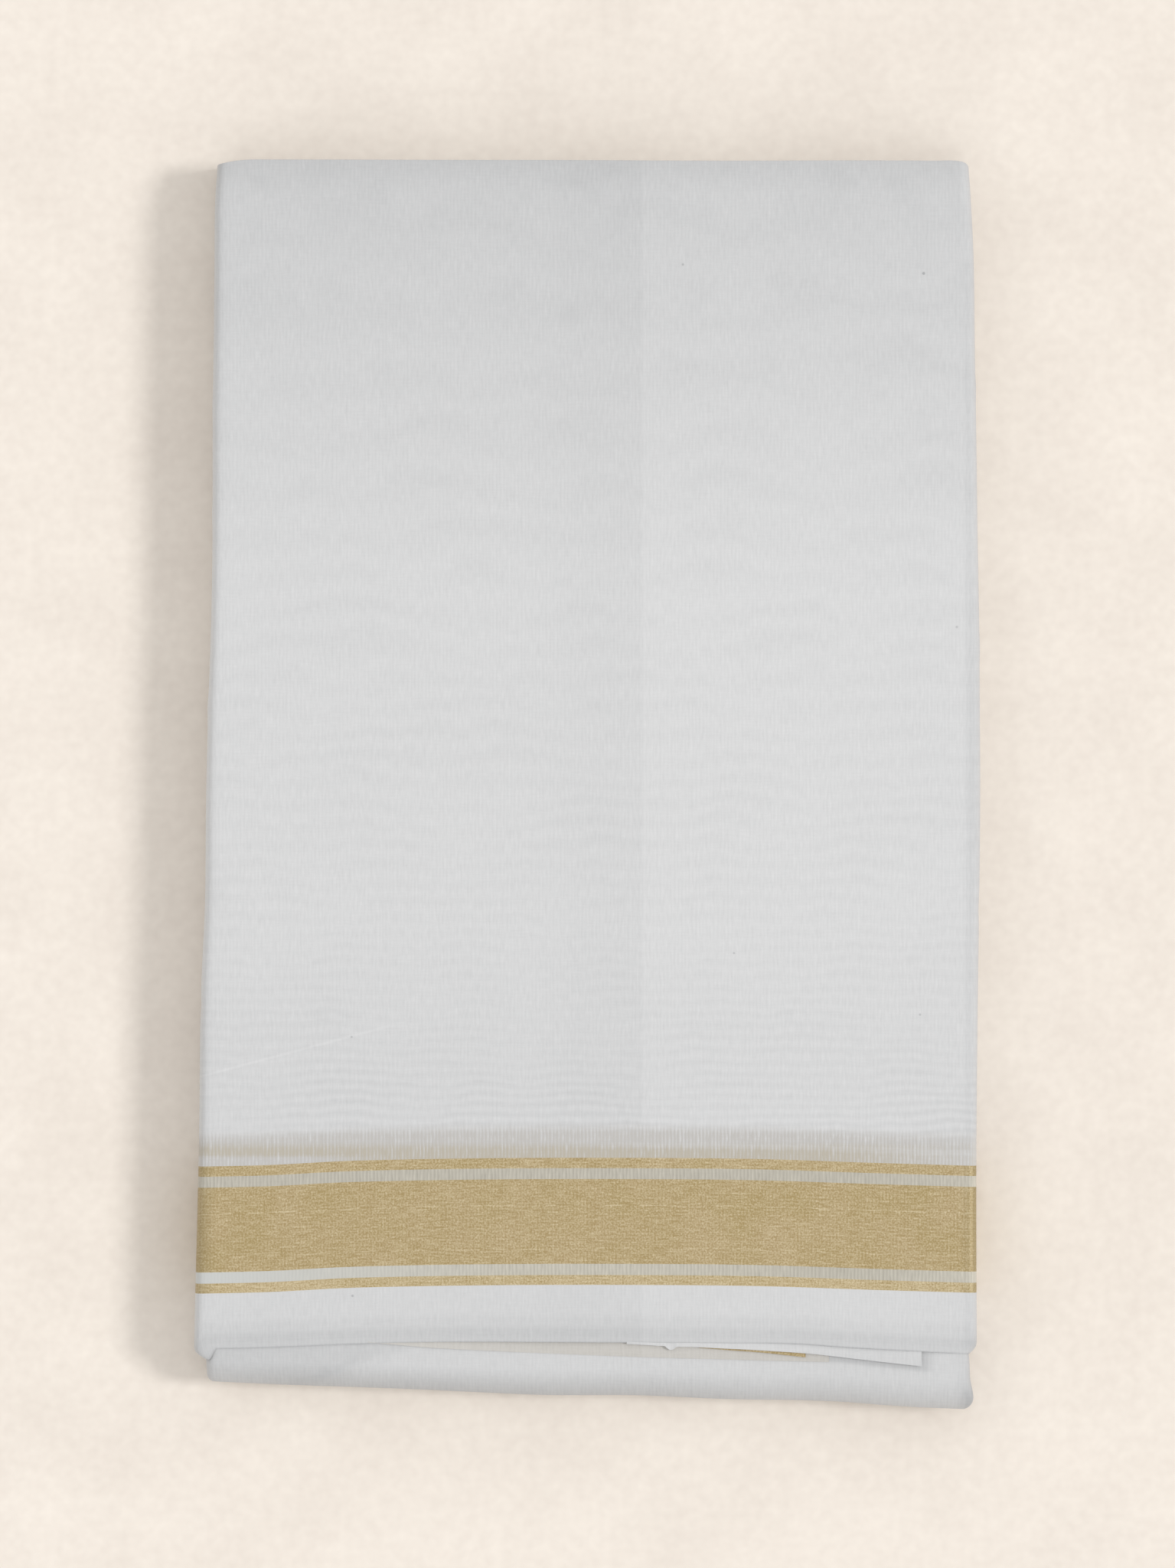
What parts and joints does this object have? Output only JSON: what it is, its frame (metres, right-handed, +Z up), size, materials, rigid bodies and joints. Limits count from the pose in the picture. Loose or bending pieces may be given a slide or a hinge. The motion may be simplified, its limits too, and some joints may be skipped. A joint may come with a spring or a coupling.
{
  "type": "folded cotton saree",
  "caption": "Pressed cotton saree folded into a flat pack, with a woven metallic border band and thin lines across one end, its selvedges lying over a plain fold.",
  "frame": {"origin": "centre of the pack's box, on the surface it rests on", "axes": "+X across the pack, towards the side with the short folds; +Y along the pack, away from the border; +Z up"},
  "size_m": [0.1941, 0.3092, 0.018],
  "materials": {
    "white_cotton": "fine plain-woven white cotton, pressed, matt and slightly sheer",
    "open_cotton": "open white cotton weave between the border's lines, where the layers below show through",
    "gold_zari": "woven metallic gold thread over cream cotton, with a soft sheen",
    "cream_cotton": "inner layer of the same cotton seen in shade, beige-grey"
  },
  "bodies": {
    "root": {"front_field": "white_cotton", "front_border_line_upper": "gold_zari", "front_border_gap_upper": "open_cotton", "front_border_band": "gold_zari", "front_border_gap_lower": "open_cotton", "front_border_line_lower": "gold_zari", "front_selvedge_margin": "white_cotton", "back_field": "white_cotton", "back_border_line_upper": "gold_zari", "back_border_gap_upper": "open_cotton", "back_border_band": "gold_zari", "back_border_gap_lower": "open_cotton", "back_border_line_lower": "gold_zari", "back_selvedge_margin": "white_cotton", "under_fold_front": "white_cotton", "under_fold_back": "white_cotton", "inner_selvedge_flap": "white_cotton", "inner_border_glimpse": "gold_zari", "inner_layer_edge": "cream_cotton", "folded_core": "white_cotton"}
  },
  "joints": []
}
